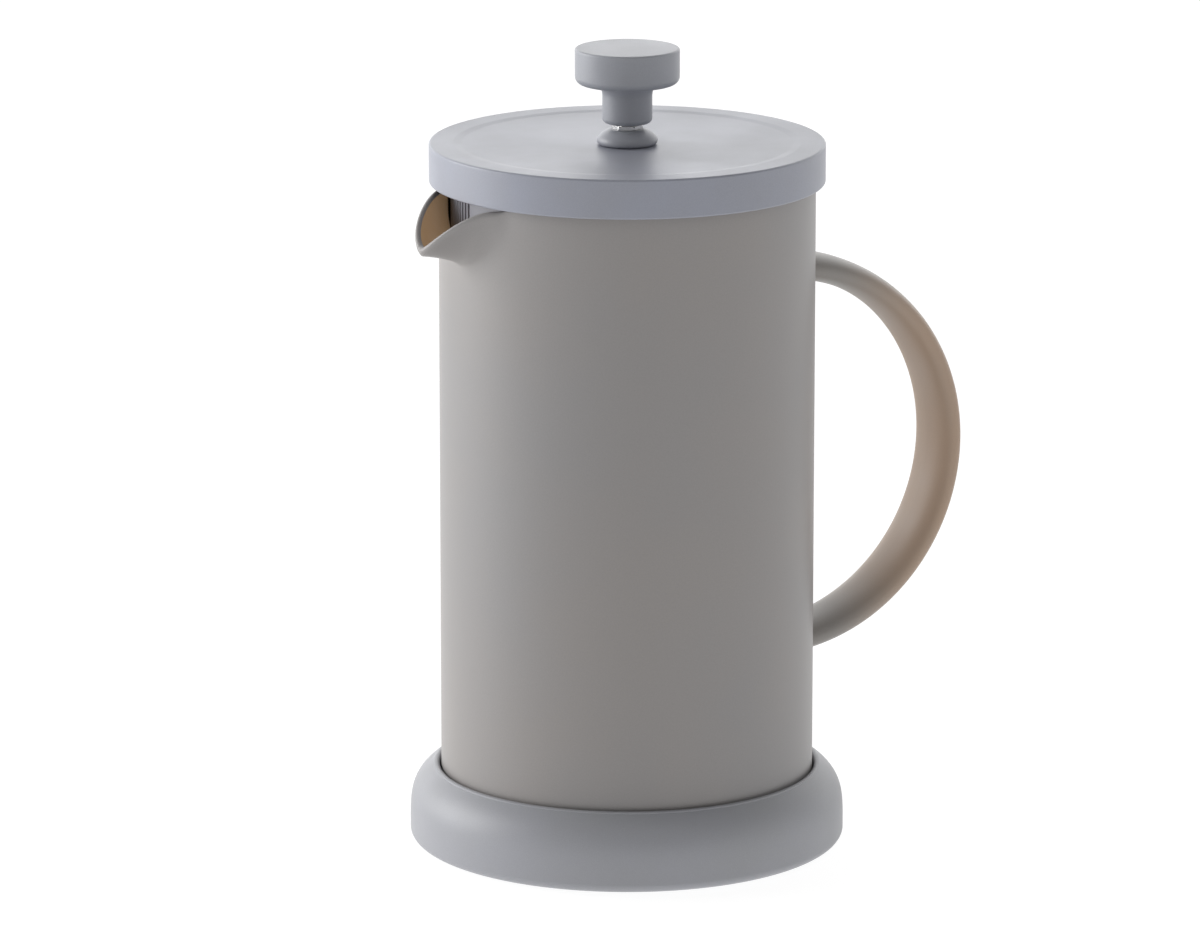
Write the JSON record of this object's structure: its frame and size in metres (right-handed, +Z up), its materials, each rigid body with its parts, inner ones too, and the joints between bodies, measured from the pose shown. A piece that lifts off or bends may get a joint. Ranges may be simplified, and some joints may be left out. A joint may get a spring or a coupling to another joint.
{
  "type": "french press",
  "caption": "Plunger coffee maker: painted glass body with pulled spout and fused band handle, cupped base, turning lift-off lid with a pouring grate, and a sprung filter plunger.",
  "frame": {"origin": "centre of the underside of the non-slip pad, on the table and on the glass body's axis", "axes": "+Z up along the body's axis; +X towards the handle and -X towards the spout; +Y to the left of someone looking from the spout's side along +X"},
  "size_m": [0.1585, 0.1144, 0.2119],
  "materials": {
    "painted_glass": "borosilicate glass sprayed outside in satin warm grey",
    "grey_plastic": "fine matte blue-grey moulding",
    "stainless": "bright stainless steel",
    "stainless_mesh": "fine woven stainless wire",
    "brass": "turned brass",
    "silicone": "matte silicone"
  },
  "bodies": {
    "base": {"base_shell": "grey_plastic", "seat_ring": "silicone", "grip_pad": "silicone"},
    "vessel": {"vessel": "painted_glass", "handle": "painted_glass"},
    "lid_hub": {"lid_cap": "grey_plastic", "rod_ferrule": "stainless", "lid_washer": "stainless", "lid_nut": "stainless"},
    "lid": {"lid_cover": "grey_plastic", "lid_liner": "grey_plastic"},
    "plunger": {"knob": "grey_plastic", "knob_insert": "brass", "rod": "stainless", "rod_collar": "stainless", "spiral_plate": "stainless", "rim_spring": "stainless", "mesh_screen": "stainless_mesh", "cross_plate": "stainless", "cross_bush": "stainless"}
  },
  "joints": [
    {"name": "vessel_lift", "type": "slide", "parent": "base", "child": "vessel", "axis": [0, 0, 1], "range_m": [0, 0.03]},
    {"name": "lid_lift", "type": "slide", "parent": "vessel", "child": "lid_hub", "axis": [0, 0, 1], "range_m": [0, 0.19]},
    {"name": "lid_turn", "type": "hinge", "parent": "lid_hub", "child": "lid", "pos_m": [0, 0, 0.1866], "axis": [0, 0, 1], "continuous": true},
    {"name": "plunger_slide", "type": "slide", "parent": "lid_hub", "child": "plunger", "axis": [0, 0, 1], "range_m": [0, 0.145]}
  ]
}
